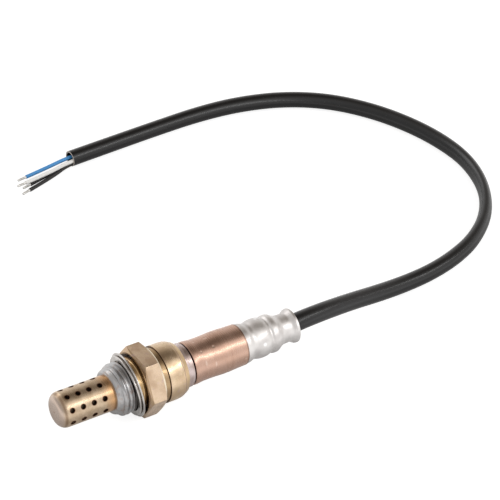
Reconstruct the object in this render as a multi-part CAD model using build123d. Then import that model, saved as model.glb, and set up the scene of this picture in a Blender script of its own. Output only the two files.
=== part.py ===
from build123d import *
import math
import os

# Heated oxygen sensor for an exhaust pipe, with a plain cut cable. Millimetres.
#
# X runs along the sensor, from the perforated nose (-X) to the cable (+X). X = 0 is on the axis of
# the thread, where the plane of the gasket's front lip crosses it. +Z is up: the sensor lies with
# one flat of its hexagon downwards, on the gasket's edge, and its cable lies beside it on the same
# surface.

# ------------------------------------------------------------------ driving sizes
THREAD_R = 9.0  # M18 x 1.5 thread, crest radius
THREAD_END_X = -1.6
NECK_R = 8.5  # plain neck between the thread and the hexagon
HEX_FLATS = 22.0  # wrench size
HEX_FRONT_X = 2.6
GASKET_R = 11.4
GASKET_BORE_R = 8.75  # smaller than the thread's crest, so the loose gasket stays on
GASKET_T = 1.5
GASKET_CENTRE = (0.44, 0, 0.12)
GASKET_TILT = 7.3  # degrees: it lies on its edge, its top leaning towards the nose
GASKET_LEAN = 107  # degrees from +Y towards +Z, the way that it leans
NOSE_X = -26.9  # closed end of the outer protection tube
NOSE_R = 6.2
LIP_X = -7.2  # front face of the threaded end
SHEET = 0.45  # wall of the drawn metal shells
SHEATH_R = 3.1  # black cable sleeve
WIRE_R = 0.7  # insulation of one wire
STRAND_R = 0.45  # tinned end of one wire
LEAD_PITCH_R = 2.6  # circle that the terminals and the leads sit on
FLOOR_Z = -11.3  # the surface that the gasket's edge and the cable lie on

# The element, the stack that holds it in the housing, and the shells behind it.
ELEMENT_R = 3.1
ELEMENT_END_X = 18.5
BORE_R = 1.6
HEATER_R = 1.3
STACK_R = 7.0
SKIRT_R = 8.85
SHOULDER_X = (1.4, 4.6)
TALC_END_X = 9.4
WASHER_T = 0.4
BUSH_STEP_X = 12.6
BUSH_END_X = 14.4
SHELL_R = 8.1
SPIGOT_R = 6.95
SEAM_X = (22.3, 22.95)
SLEEVE_END_X = 43.9
SLEEVE_BORE_R = 6.8
SEPARATOR_R = 6.2
SEPARATOR_X = (25.0, 39.4)
CAP_END_X = 65.2
GROMMET_X = (45.6, 62.8)
SHEATH_START_X = 60.3

# Holes of the protection tubes.
HOLE_R = 0.875
HOLE_ROWS = 8
HOLE_ROW_ANGLE = 150.4  # degrees from +Y towards +Z
HOLE_FIRST_X = -23.05
HOLE_STEP = 4.04
HOLE_RINGS = 4

# Centre line of the cable sleeve, from inside the grommet to its cut end.
LYING_Z = FLOOR_Z + SHEATH_R
ROUTE = [
    (SHEATH_START_X, 0.0, 0.0),
    (64.6, 0.0, 0.0),
    (68.5, 0.05, 0.5),
    (79.5, 1.3, -0.35),
    (93.0, 4.0, -3.1),
    (106.5, 6.2, -6.1),
    (119.5, 8.0, -8.0),
    (131.5, 9.2, LYING_Z),
    (143.5, 12.0, LYING_Z),
    (156.0, 17.0, LYING_Z),
    (169.0, 26.8, LYING_Z),
    (178.5, 40.5, LYING_Z),
    (183.5, 57.0, LYING_Z),
    (183.0, 73.5, LYING_Z),
    (178.5, 89.5, LYING_Z),
    (171.0, 104.5, LYING_Z),
    (160.0, 118.0, LYING_Z),
    (145.5, 127.5, LYING_Z),
    (128.5, 132.8, LYING_Z),
    (111.0, 134.6, LYING_Z),
    (92.5, 134.2, LYING_Z),
    (73.0, 133.3, LYING_Z),
    (53.0, 132.3, LYING_Z),
]
SHEATH_BORE_R = 2.5  # the sleeve is open at its cut end
SHEATH_BORE_DEPTH = 6.0

# The four wires that come out of the cut end: where each sits in the sleeve (sideways, up),
# then the two points that its insulation bends through and ends at.
WIRES = {
    "blue": ((0.6, 0.2), (43.05, 132.1, -8.9), (33.9, 131.5, -9.6)),
    "white": ((-1.5, -0.55), (41.7, 128.5, -8.6), (31.4, 127.2, -8.7)),
    "black_inner": ((1.1, -1.3), (43.4, 130.0, -10.45), (33.7, 127.7, -10.5)),
    "black_outer": ((-0.45, -1.7), (43.4, 128.1, -10.5), (31.8, 124.7, -10.5)),
}
STRAND_LENGTH = 4.0

# Angle about X of the terminal and lead that each wire belongs to.
LEADS = {"blue": 45, "white": 135, "black_inner": 225, "black_outer": 315}


# ------------------------------------------------------------------ helpers
def turned(outline, rounds=()):
    """Solid of revolution about X from (x, radius) points; rounds are (x, radius, fillet)."""
    face = make_face(Polyline(*outline, close=True))
    for x, radius, size in rounds:
        corner = min(face.vertices(), key=lambda v: math.hypot(v.X - x, v.Y - radius))
        face = fillet(corner, size)
    return revolve(face, Axis.X)


def ring(x0, x1, inner, outer):
    """Plain ring about X."""
    return turned([(x0, inner), (x1, inner), (x1, outer), (x0, outer)])


def drawn_shell(outline, radii, wall):
    """Shell of even wall about X, from the rounded line of its outer surface."""
    outside = FilletPolyline(*outline, radius=radii)
    inside = outside.moved(Location((0, -wall, 0)))
    front = Line(outside @ 0, inside @ 0)
    back = Line(outside @ 1, inside @ 1)
    return revolve(make_face(outside + inside + front + back), Axis.X)


def about_axis(shape, angle):
    """The shape turned about the sensor's axis, from +Y towards +Z."""
    return Rot(angle, 0, 0) * shape


def radial_holes(xs, angles, radius, depth):
    """Drills that reach from the axis out to depth, one for each place."""
    drill = Rot(-90, 0, 0) * Cylinder(radius, depth, align=(Align.CENTER, Align.CENTER, Align.MIN))
    return [about_axis(Pos(x, 0, 0) * drill, angle) for x in xs for angle in angles]


def corner_turns(points):
    """Turn of the route at each inner point, in radians, with the two runs beside it."""
    vectors = [Vector(*b) - Vector(*a) for a, b in zip(points, points[1:])]
    return [
        (math.radians(before.get_angle(after)), before.length, after.length)
        for before, after in zip(vectors, vectors[1:])
    ]


def corner_radii(points, share=0.45):
    """Arc radius at each corner, as large as the two runs beside it allow."""
    return [
        share * min(before, after) / math.tan(turn / 2)
        for turn, before, after in corner_turns(points)
    ]


def swept_rod(path, radius):
    """Round rod along a path of straight runs and tangent arcs."""
    start = Plane(origin=path @ 0, z_dir=path % 0)
    return sweep(start * Circle(radius), path)


def rod(start, direction, length, radius):
    """Round straight rod."""
    plane = Plane(origin=start, z_dir=direction)
    return extrude(plane * Circle(radius), length)


# ------------------------------------------------------------------ nose
def outer_protection_tube():
    """Deep-drawn cup with four rings of holes, and a foot that the housing's lip holds."""
    wall = 0.5
    foot = (-5.8, -5.3)
    cup = turned(
        [
            (NOSE_X, 0),
            (NOSE_X, NOSE_R),
            (foot[0], NOSE_R),
            (foot[0], 6.9),
            (foot[1], 6.9),
            (foot[1], NOSE_R - wall),
            (NOSE_X + wall, NOSE_R - wall),
            (NOSE_X + wall, 0),
        ],
        rounds=[(NOSE_X, NOSE_R, 3.0), (NOSE_X + wall, NOSE_R - wall, 2.5)],
    )
    xs = [HOLE_FIRST_X + HOLE_STEP * i for i in range(HOLE_RINGS)]
    angles = [HOLE_ROW_ANGLE + 360 / HOLE_ROWS * i for i in range(HOLE_ROWS)]
    dimple = Pos(NOSE_X, 0, 0) * Sphere(0.35)
    return cup - radial_holes(xs, angles, HOLE_R, NOSE_R + 1) - dimple


def inner_protection_tube():
    """Second cup inside the first, with its holes out of line, so gas turns on its way in."""
    radius, wall, end_x = 4.5, 0.4, -24.9
    cup = turned(
        [
            (end_x, 0),
            (end_x, radius),
            (-5.3, radius),
            (-5.3, 6.9),
            (-4.9, 6.9),
            (-4.9, radius - wall),
            (end_x + wall, radius - wall),
            (end_x + wall, 0),
        ],
        rounds=[(end_x, radius, 1.4), (end_x + wall, radius - wall, 1.0)],
    )
    angles = [HOLE_ROW_ANGLE + 360 / HOLE_ROWS * (i + 0.5) for i in range(HOLE_ROWS)]
    return cup - radial_holes([-20.0, -13.0, -8.5], angles, 0.8, radius + 1)


def zirconia_element():
    """Closed ceramic thimble: its tip measures, its shoulder seals in the housing."""
    front, back = SHOULDER_X
    tip_x, tip_r = -23.0, 2.6
    return turned(
        [
            (tip_x, 0),
            (tip_x, tip_r),
            (-6.0, ELEMENT_R),
            (front, ELEMENT_R),
            (front, 5.5),
            (back, 5.5),
            (back, ELEMENT_R),
            (ELEMENT_END_X, ELEMENT_R),
            (ELEMENT_END_X, BORE_R),
            (tip_x + 1.2, BORE_R),
            (tip_x + 1.2, 0),
        ],
        rounds=[(tip_x, tip_r, 2.3), (tip_x + 1.2, BORE_R, 1.4)],
    )


def heater_rod():
    """Ceramic heater inside the thimble."""
    tip_x, end_x = -21.2, 24.0
    return turned(
        [(tip_x, 0), (tip_x, HEATER_R), (end_x, HEATER_R), (end_x, 0)],
        rounds=[(tip_x, HEATER_R, 0.6)],
    )


# ------------------------------------------------------------------ housing and its seal
def housing():
    """Threaded body: lip, thread, neck, hexagon, and a barrel whose skirt is rolled inwards."""
    body = turned(
        [
            (LIP_X, NOSE_R),
            (LIP_X, 7.0),
            (-6.9, 7.45),
            (-5.9, 7.85),
            (-4.9, 8.2),
            (-4.2, THREAD_R),
            (THREAD_END_X, THREAD_R),
            (THREAD_END_X, NECK_R),
            (HEX_FRONT_X, NECK_R),
            (HEX_FRONT_X, 10.9),
            (9.0, 10.9),
            (9.7, 10.5),
            (9.8, 9.6),
            (11.65, 9.6),
            (11.75, 10.05),
            (16.0, 10.05),
            (17.2, 9.87),
            (18.2, 9.5),
            (19.5, 8.85),
            (19.5, SHELL_R + 0.05),
            (17.9, 8.4),
            (17.4, SKIRT_R),
            (BUSH_STEP_X, SKIRT_R),
            (BUSH_STEP_X, STACK_R),
            (SHOULDER_X[1], STACK_R),
            (SHOULDER_X[1], 5.6),
            (1.0, 5.6),
            (1.0, 3.6),
            (-4.9, 3.6),
            (-4.9, 6.9),
            (-5.8, 6.9),
            (-5.8, NOSE_R),
        ],
        rounds=[(16.0, 10.05, 2.0), (-6.9, 7.45, 0.6), (HEX_FRONT_X, NECK_R, 0.6)],
    )
    corner_r = HEX_FLATS / math.sqrt(3)
    prism = extrude(Plane.YZ * RegularPolygon(corner_r, 6), 12)
    chamfers = turned(
        [
            (HEX_FRONT_X, 9.5),
            (HEX_FRONT_X, 10.8),
            (3.7, corner_r),
            (8.3, corner_r),
            (9.2, 10.8),
            (9.2, 9.5),
        ]
    )
    return body + (prism & chamfers)


def gasket():
    """Crush gasket, loose and tilted on the neck: a folded ring, open outwards as a groove."""
    half = GASKET_T / 2
    lip_r = GASKET_R - 0.75
    folded = turned(
        [
            (-half, GASKET_BORE_R),
            (-half, lip_r),
            (-0.15, lip_r),
            (-0.1, 9.9),
            (0.1, 9.9),
            (0.12, GASKET_R),
            (half, GASKET_R),
            (half, GASKET_BORE_R),
        ],
        rounds=[
            (-half, GASKET_BORE_R, 0.35),
            (-half, lip_r, 0.28),
            (-0.15, lip_r, 0.28),
            (0.12, GASKET_R, 0.28),
            (half, GASKET_R, 0.28),
            (half, GASKET_BORE_R, 0.35),
        ],
    )
    leaning = about_axis(Rot(0, 0, GASKET_TILT) * folded, GASKET_LEAN)
    return Pos(*GASKET_CENTRE) * leaning


def seat_washer():
    """Thin metal washer under the element's shoulder."""
    return ring(1.0, 1.0 + WASHER_T, 3.6, 5.5)


def talc_packing():
    """Pressed powder ring that seals round the element."""
    return ring(SHOULDER_X[1], TALC_END_X, ELEMENT_R, STACK_R)


def packing_washer():
    """Washer that spreads the crimping load over the powder."""
    return ring(TALC_END_X, TALC_END_X + WASHER_T, 3.2, STACK_R)


def insulator_bush():
    """Alumina bush between the powder and the crimped shell."""
    return turned(
        [
            (TALC_END_X + WASHER_T, 3.2),
            (TALC_END_X + WASHER_T, STACK_R),
            (BUSH_STEP_X, STACK_R),
            (BUSH_STEP_X, SKIRT_R),
            (BUSH_END_X, SKIRT_R),
            (BUSH_END_X, 4.6),
            (15.2, 4.2),
            (15.2, 3.2),
        ]
    )


def crimp_ring():
    """Ring that the rolled edge of the housing presses on the shell's foot."""
    return ring(15.4, 17.4, SHELL_R, SKIRT_R)


# ------------------------------------------------------------------ shells
def inner_shell():
    """Front shell: its foot is held in the crimp, its spigot carries the long sleeve."""
    return turned(
        [
            (BUSH_END_X, 7.6),
            (BUSH_END_X, SKIRT_R),
            (15.4, SKIRT_R),
            (15.4, SHELL_R),
            (19.5, SHELL_R),
            (21.0, 7.8),
            (SEAM_X[0], 7.7),
            (SEAM_X[0], SPIGOT_R),
            (25.8, SPIGOT_R),
            (25.8, 6.5),
            (21.5, 6.5),
            (19.2, 7.6),
        ],
        rounds=[(19.5, SHELL_R, 0.6), (21.0, 7.8, 1.0)],
    )


def weld_seam():
    """Dark laser weld between the front shell and the sleeve."""
    return ring(SEAM_X[0], SEAM_X[1], SPIGOT_R, 7.15)


def outer_sleeve():
    """Long heat-tinted tube over the contacts, slightly waisted and swollen where it is staked."""
    outside = FilletPolyline(
        (SEAM_X[1], 7.5),
        (23.4, 7.6),
        (24.6, 7.6),
        (26.6, 7.33),
        (31.0, 7.3),
        (35.6, 7.5),
        (37.8, 7.5),
        (40.2, 7.3),
        (SLEEVE_END_X, 7.25),
        radius=[0.5, 1.5, 3.0, 12.0, 5.0, 4.0, 4.0],
    )
    inside = Polyline(
        (SEAM_X[1], 7.5),
        (SEAM_X[1], SPIGOT_R),
        (25.8, SPIGOT_R),
        (25.8, SLEEVE_BORE_R),
        (SLEEVE_END_X, SLEEVE_BORE_R),
        (SLEEVE_END_X, 7.25),
    )
    return revolve(make_face(outside + inside), Axis.X)


def rear_cap():
    """Silver shell behind the sleeve: crimped on the grommet, necked and flared at its mouth."""
    visible = drawn_shell(
        [
            (SLEEVE_END_X, 7.0),
            (45.6, 7.0),
            (47.4, 6.3),
            (49.0, 6.8),
            (51.0, 6.98),
            (52.4, 6.85),
            (54.1, 6.25),
            (55.0, 6.75),
            (56.7, 6.75),
            (59.3, 5.2),
            (62.7, 5.05),
            (64.4, 6.05),
            (CAP_END_X, 6.05),
        ],
        [1.2, 0.8, 2.0, 4.0, 2.0, 0.5, 0.5, 0.9, 1.5, 2.0, 0.5],
        SHEET,
    )
    spigot = ring(39.8, SLEEVE_END_X + 0.4, SLEEVE_BORE_R - SHEET, SLEEVE_BORE_R)
    return visible + spigot


# ------------------------------------------------------------------ contacts
def inner_electrode_contact():
    """Spring sleeve between the heater and the bore of the element."""
    return ring(12.0, 19.2, HEATER_R, BORE_R)


def outer_electrode_contact():
    """Clip round the open end of the element."""
    return ring(15.4, 19.2, ELEMENT_R, ELEMENT_R + 0.3)


def contact_separator():
    """Ceramic block that keeps the four terminals apart."""
    front, back = SEPARATOR_X
    block = turned(
        [
            (front, 4.2),
            (front, SEPARATOR_R),
            (back, SEPARATOR_R),
            (back, 0),
            (front + 2.5, 0),
            (front + 2.5, 4.2),
        ],
        rounds=[(front, SEPARATOR_R, 0.5), (back, SEPARATOR_R, 0.5)],
    )
    channel = Pos(back, LEAD_PITCH_R, 0) * Rot(0, -90, 0) * Cylinder(
        1.0, back - front, align=(Align.CENTER, Align.CENTER, Align.MIN)
    )
    return block - [about_axis(channel, angle) for angle in LEADS.values()]


def holding_spring():
    """Ribbed ring that centres the separator in the sleeve."""
    front, back = 30.5, 36.0
    band = ring(front, back, SEPARATOR_R, SEPARATOR_R + 0.25)
    rib = Pos(front, SEPARATOR_R + 0.25, 0) * Rot(0, 90, 0) * Cylinder(
        0.5, back - front, align=(Align.CENTER, Align.CENTER, Align.MIN)
    )
    ribs = [about_axis(rib, 60 * i) for i in range(6)]
    return (band + ribs) & ring(front, back, SEPARATOR_R, SLEEVE_BORE_R)


def terminal(touch_x, touch_r, angle):
    """Leaf that touches a contact at its front, with a crimp barrel for the wire at its back."""
    leaf_t, leaf_w = 0.3, 1.1
    low = LEAD_PITCH_R - leaf_t / 2
    profile = Polyline(
        (touch_x, touch_r),
        (touch_x + 0.9, touch_r),
        (24.6, low),
        (30.6, low),
        (30.6, low + leaf_t),
        (24.6, low + leaf_t),
        (touch_x + 0.9, touch_r + leaf_t),
        (touch_x, touch_r + leaf_t),
        close=True,
    )
    leaf = extrude(make_face(profile), leaf_w / 2, both=True)
    start = Pos(30.2, LEAD_PITCH_R, 0) * Rot(0, 90, 0)
    barrel = start * Cylinder(0.95, 7.3, align=(Align.CENTER, Align.CENTER, Align.MIN))
    wire_hole = Pos(0.8, 0, 0) * start * Cylinder(
        0.5, 8, align=(Align.CENTER, Align.CENTER, Align.MIN)
    )
    return about_axis(leaf + barrel - wire_hole, angle)


# ------------------------------------------------------------------ cable
def lead(angle):
    """Wire inside the sensor: bare in its crimp barrel, then insulated up to the cable sleeve."""
    strip_x, gather_r = 38.5, 1.2
    bare = rod((31.0, LEAD_PITCH_R, 0), (1, 0, 0), strip_x - 31.0, 0.5)
    path = FilletPolyline(
        (strip_x, LEAD_PITCH_R, 0),
        (57.9, LEAD_PITCH_R, 0),
        (59.7, gather_r, 0),
        (SHEATH_START_X, gather_r, 0),
        radius=[2.0, 1.6],
    )
    return about_axis(bare + swept_rod(path, WIRE_R), angle)


def cable_grommet():
    """Rubber plug with four wire holes, and a tail that takes the end of the cable sleeve."""
    front, back = GROMMET_X
    plug = turned(
        [
            (front, 0),
            (front, 5.8),
            (56.4, 5.8),
            (59.2, 4.5),
            (back, 4.5),
            (back, SHEATH_R),
            (SHEATH_START_X, SHEATH_R),
            (SHEATH_START_X, 3.5),
            (57.2, 3.5),
            (57.2, 0),
        ]
    )
    hole = Pos(front, LEAD_PITCH_R, 0) * Rot(0, 90, 0) * Cylinder(
        WIRE_R, 12, align=(Align.CENTER, Align.CENTER, Align.MIN)
    )
    return plug - [about_axis(hole, angle) for angle in LEADS.values()]


def cable_sheath():
    """Black sleeve round the four wires, open at its cut end."""
    radii = corner_radii(ROUTE)
    path = FilletPolyline(*ROUTE, radius=radii)
    sleeve = swept_rod(path, SHEATH_R)
    print("cord radii:", " ".join(f"{r:.0f}" for r in radii))
    print(f"cord length {path.length:.1f} mm, from the grommet to the cut end")
    section = math.pi * SHEATH_R**2
    print(f"volume over section times length: {sleeve.volume / (section * path.length):.4f}")
    end, back = wire_mouth()
    return sleeve - rod(end, back, SHEATH_BORE_DEPTH, SHEATH_BORE_R)


def wire_mouth():
    """The cut end of the sleeve: its centre and the direction back into the sleeve."""
    end = Vector(*ROUTE[-1])
    back = (Vector(*ROUTE[-2]) - end).normalized()
    return end, back


def wire_end(name):
    """Insulation of one wire from inside the cut end, and its tinned strand."""
    (sideways, up), bend, stop = WIRES[name]
    end, back = wire_mouth()
    side = Vector(-back.Y, back.X, 0)
    mouth = end + side * sideways + Vector(0, 0, up)
    points = [mouth + back * SHEATH_BORE_DEPTH, mouth - back * 1.5, Vector(*bend), Vector(*stop)]
    path = FilletPolyline(*points, radius=corner_radii([tuple(p) for p in points]))
    insulation = swept_rod(path, WIRE_R)
    strand = rod(path @ 1, path % 1, STRAND_LENGTH, STRAND_R)
    return insulation, strand


# ------------------------------------------------------------------ all pieces
PIECES = {
    "outer_protection_tube": outer_protection_tube(),
    "inner_protection_tube": inner_protection_tube(),
    "zirconia_element": zirconia_element(),
    "heater_rod": heater_rod(),
    "housing": housing(),
    "gasket": gasket(),
    "seat_washer": seat_washer(),
    "talc_packing": talc_packing(),
    "packing_washer": packing_washer(),
    "insulator_bush": insulator_bush(),
    "crimp_ring": crimp_ring(),
    "inner_shell": inner_shell(),
    "weld_seam": weld_seam(),
    "outer_sleeve": outer_sleeve(),
    "rear_cap": rear_cap(),
    "inner_electrode_contact": inner_electrode_contact(),
    "outer_electrode_contact": outer_electrode_contact(),
    "contact_separator": contact_separator(),
    "holding_spring": holding_spring(),
    "signal_terminal": terminal(18.6, BORE_R, LEADS["blue"]),
    "ground_terminal": terminal(18.6, ELEMENT_R + 0.3, LEADS["white"]),
    "heater_terminal_inner": terminal(20.4, HEATER_R, LEADS["black_inner"]),
    "heater_terminal_outer": terminal(20.4, HEATER_R, LEADS["black_outer"]),
    "cable_grommet": cable_grommet(),
    "cable_sheath": cable_sheath(),
}
for colour, turn in LEADS.items():
    PIECES[f"lead_{colour}"] = lead(turn)
    PIECES[f"wire_{colour}"], PIECES[f"strand_{colour}"] = wire_end(colour)

os.makedirs("parts", exist_ok=True)
for node, solid in PIECES.items():
    export_step(solid, f"parts/{node}.step")
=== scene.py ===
# %% [markdown]
# # A heated oxygen sensor with a bare-ended cable
#
# An oxygen sensor screws into an exhaust pipe. From front to back it is a perforated nose tube,
# a threaded hexagon body with a crush gasket, a long tinted sleeve, a silver cap crimped round
# a rubber plug, and a black cable that ends in four stripped wires. The solid model is loaded
# first and gives every place and size. The cells after it make what a solid model does badly: a
# cable that bends like a cable, a cut thread, hammered dents, and the finish of each metal.

# %% Load the fixed frame
import math

import bmesh
import bpy
from mathutils import Matrix, Quaternion, Vector


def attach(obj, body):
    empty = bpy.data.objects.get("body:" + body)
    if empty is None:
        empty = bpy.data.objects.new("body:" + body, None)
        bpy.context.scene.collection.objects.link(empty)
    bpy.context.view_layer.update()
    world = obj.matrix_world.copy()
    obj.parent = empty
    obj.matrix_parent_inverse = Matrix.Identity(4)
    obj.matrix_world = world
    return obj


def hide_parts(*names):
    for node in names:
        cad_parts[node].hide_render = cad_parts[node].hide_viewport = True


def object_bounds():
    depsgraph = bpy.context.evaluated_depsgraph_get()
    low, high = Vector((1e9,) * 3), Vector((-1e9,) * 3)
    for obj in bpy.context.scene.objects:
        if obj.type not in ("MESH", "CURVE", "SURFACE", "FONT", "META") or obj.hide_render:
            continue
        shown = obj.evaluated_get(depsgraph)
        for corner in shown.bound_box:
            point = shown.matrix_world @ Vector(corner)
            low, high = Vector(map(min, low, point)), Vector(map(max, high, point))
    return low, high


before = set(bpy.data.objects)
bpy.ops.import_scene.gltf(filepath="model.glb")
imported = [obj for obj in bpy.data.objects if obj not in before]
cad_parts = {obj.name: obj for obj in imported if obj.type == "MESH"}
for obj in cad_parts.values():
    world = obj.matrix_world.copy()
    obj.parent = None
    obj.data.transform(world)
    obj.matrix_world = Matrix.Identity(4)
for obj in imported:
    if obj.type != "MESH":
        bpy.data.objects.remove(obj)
cad_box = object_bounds()
MM = 0.001
FLOOR_Z = cad_box[0].z
print("nodes:", len(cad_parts), "floor at", round(FLOOR_Z / MM, 2), "mm")

# %% [markdown]
# ## Camera
#
# A long lens from far off keeps the hexagon's sides nearly parallel. The camera is placed in
# everyday terms: what it aims at, how far off it stands, from which side and how high, and how
# much it is tilted. A look-at quaternion gives the turn, and the tilt is one more turn about
# the line of sight.

# %% Camera
AIM = Vector((0.0817, 0.0516, -0.0082))
DISTANCE = 0.9262
AZIMUTH, ELEVATION, TILT = math.radians(-34.3), math.radians(37.157), math.radians(3.176)
LENS_MM = 185.72

back = Vector((
    math.sin(AZIMUTH) * math.cos(ELEVATION),
    -math.cos(AZIMUTH) * math.cos(ELEVATION),
    math.sin(ELEVATION),
))
camera = bpy.data.objects.new("camera", bpy.data.cameras.new("camera"))
bpy.context.scene.collection.objects.link(camera)
camera.data.lens = LENS_MM
camera.location = AIM + back * DISTANCE
camera.rotation_mode = "QUATERNION"
camera.rotation_quaternion = back.to_track_quat("Z", "Y") @ Quaternion((0, 0, 1), TILT)
camera.data.clip_start, camera.data.clip_end = 0.01, 20
bpy.context.scene.camera = camera
print("camera at", [round(c, 3) for c in camera.location])

# %% [markdown]
# ## Nodes written as sums
#
# A finish is a small formula: where the surface is, how rough, how brown. Wiring such a formula
# by hand takes a line for every node and link. Two small classes make it readable. `Shade` is
# one output of a node and takes part in sums as a number does. `Finish` is one material: its
# `node` method makes any node from its type, its settings and what goes into its sockets.

# %% Shade: an output that takes part in sums
class Shade:
    """One output of a node, with its value's arithmetic."""

    def __init__(self, finish, socket):
        self.finish = finish
        self.socket = socket

    def math(self, operation, *values):
        sockets = dict(enumerate(values))
        return self.finish.node("ShaderNodeMath", {"operation": operation}, sockets)

    def __add__(self, other):
        return self.math("ADD", self, other)

    def __sub__(self, other):
        return self.math("SUBTRACT", self, other)

    def __rsub__(self, other):
        return self.math("SUBTRACT", other, self)

    def __mul__(self, other):
        return self.math("MULTIPLY", self, other)

    def sqrt(self):
        return self.math("SQRT", self)

    def mod(self, step):
        """Distance past the last whole step, from -step/2 to step/2."""
        return self.math("WRAP", self, step / 2, -step / 2)

    __radd__ = __add__
    __rmul__ = __mul__


# %% Finish: a material written as a formula
def colour(red, green, blue):
    """A colour as a screen shows it, 0 to 255, in the linear values that nodes work with."""
    shown = [channel / 255 for channel in (red, green, blue)]
    linear = [c / 12.92 if c <= 0.04045 else ((c + 0.055) / 1.055) ** 2.4 for c in shown]
    return (*linear, 1.0)


class Finish:
    """One material, with the place on the object in millimetres as x, y and z."""

    def __init__(self, name, **constants):
        self.material = bpy.data.materials.new(name)
        self.material.use_nodes = True
        self.tree = self.material.node_tree
        self.shader = self.tree.nodes["Principled BSDF"]
        for socket, value in constants.items():
            self.shader.inputs[socket.replace("_", " ")].default_value = value
        self.place = self.node("ShaderNodeTexCoord", out="Object")
        split = {"Vector": self.place}
        self.x, self.y, self.z = (
            self.node("ShaderNodeSeparateXYZ", {}, split, out=axis) * (1 / MM) for axis in "XYZ"
        )

    def node(self, kind, settings=None, sockets=None, out=0):
        """Any node: its settings first, then a value or a link for each socket."""
        node = self.tree.nodes.new(kind)
        for key, value in (settings or {}).items():
            if key == "stops":
                self.set_stops(node.color_ramp, value)
            else:
                setattr(node, key, value)
        for key, value in (sockets or {}).items():
            self.feed(node.inputs[key], value)
        return Shade(self, node.outputs[out])

    @staticmethod
    def set_stops(ramp, stops):
        for _ in stops[2:]:
            ramp.elements.new(0.5)
        for element, (position, value) in zip(ramp.elements, stops):
            element.position = position
            element.color = value

    def feed(self, socket, value):
        """Gives a socket a link or a plain value."""
        if isinstance(value, Shade):
            self.tree.links.new(value.socket, socket)
        else:
            socket.default_value = value

    def noise(self, size_mm, detail=3.0, stretch=(1, 1, 1), place=None):
        """Soft noise, 0 to 1, with lumps of about size_mm, stretched along an axis if asked."""
        scale = [1 / (size_mm * MM * s) for s in stretch]
        spread = self.node(
            "ShaderNodeVectorMath", {"operation": "MULTIPLY"}, {0: place or self.place, 1: scale}
        )
        sockets = {"Vector": spread, "Scale": 1.0, "Detail": detail}
        return self.node("ShaderNodeTexNoise", {}, sockets)

    def step(self, value, low, high):
        """0 below low and 1 above high, with a smooth rise between."""
        return self.node(
            "ShaderNodeMapRange",
            {"interpolation_type": "SMOOTHSTEP"},
            {"Value": value, "From Min": low, "From Max": high},
        )

    def mix(self, share, first, second):
        """First colour where share is 0, second where it is 1."""
        return self.node(
            "ShaderNodeMix", {"data_type": "RGBA"}, {0: share, 6: first, 7: second}, out=2
        )

    def bump(self, height, depth_mm, strength=1.0, under=None):
        """A normal for relief whose height of 1 stands depth_mm out of the surface."""
        sockets = {"Height": height, "Distance": depth_mm * MM, "Strength": strength}
        if under:
            sockets["Normal"] = under
        return self.node("ShaderNodeBump", {}, sockets)

    def done(self, **outputs):
        """Links the finished values to the shader and returns the material."""
        for socket, value in outputs.items():
            self.feed(self.shader.inputs[socket.replace("_", " ")], value)
        return self.material


print("screen grey 128 is", round(colour(128, 128, 128)[0], 3), "in linear light")

# %% [markdown]
# ## Black rubber cable finish
#
# Extruded rubber is dark and half glossy. It has faint lines along its length from the die, and
# a bloom of dust that dulls its shine in patches. The lines follow the cable through its bends,
# so the pattern reads the cable's own UV map: U goes round it once and V along it, in metres.
# The cut face shows paler rubber, which the die lines' UV can't say, so it is a finish of its
# own.

# %% Cable finishes
def rubber_finish():
    finish = Finish("semi_gloss_rubber", Specular_IOR_Level=0.55)
    uv = finish.node("ShaderNodeUVMap", {"uv_map": "along"})
    lines = finish.noise(1000, 2.0, (0.0009, 0.03, 1), place=uv)
    dust = finish.noise(6, 4.0)
    specks = finish.step(finish.noise(0.55, 2.0), 0.66, 0.74)
    base = finish.mix(dust, colour(9, 9, 10), colour(20, 20, 22))
    base = finish.mix(specks * 0.3, base, colour(80, 80, 82))
    grain = finish.noise(0.25, 2.0)
    normal = finish.bump(lines, 0.015, under=finish.bump(grain, 0.004))
    return finish.done(Base_Color=base, Roughness=0.14 + dust * 0.14, Normal=normal)


def cut_rubber_finish():
    finish = Finish("cut_rubber_edge", Roughness=0.6)
    tint = finish.noise(0.4)
    return finish.done(Base_Color=finish.mix(tint, colour(186, 174, 164), colour(232, 224, 214)))


rubber = rubber_finish()
cut_rubber = cut_rubber_finish()
print("finishes:", rubber.name, cut_rubber.name)

# %% [markdown]
# ## The line of the cable
#
# A cable is a fixed length of something springy, so it takes one smooth line: straight out of
# the cap, down to the table under its own weight, and round in one loop. A NURBS spline with
# the route's points as its control points gives such a line, because it never passes sharply
# through a point. Its order and its endpoint rule are set once the points are in. The line is
# then read back from the curve without any thickness, and everything on the cable follows those
# points.

# %% Route of the cable
LYING_Z = -0.0082
ROUTE = [
    (0.0603, 0.0, 0.0),
    (0.0646, 0.0, 0.0),
    (0.0685, 0.00005, 0.0005),
    (0.0795, 0.0013, -0.00035),
    (0.0930, 0.0040, -0.0031),
    (0.1065, 0.0062, -0.0061),
    (0.1195, 0.0080, -0.0080),
    (0.1315, 0.0092, LYING_Z),
    (0.1435, 0.0120, LYING_Z),
    (0.1560, 0.0170, LYING_Z),
    (0.1690, 0.0268, LYING_Z),
    (0.1785, 0.0405, LYING_Z),
    (0.1835, 0.0570, LYING_Z),
    (0.1830, 0.0735, LYING_Z),
    (0.1785, 0.0895, LYING_Z),
    (0.1710, 0.1045, LYING_Z),
    (0.1600, 0.1180, LYING_Z),
    (0.1455, 0.1275, LYING_Z),
    (0.1285, 0.1328, LYING_Z),
    (0.1110, 0.1346, LYING_Z),
    (0.0925, 0.1342, LYING_Z),
    (0.0730, 0.1333, LYING_Z),
    (0.0530, 0.1323, LYING_Z),
]


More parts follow.
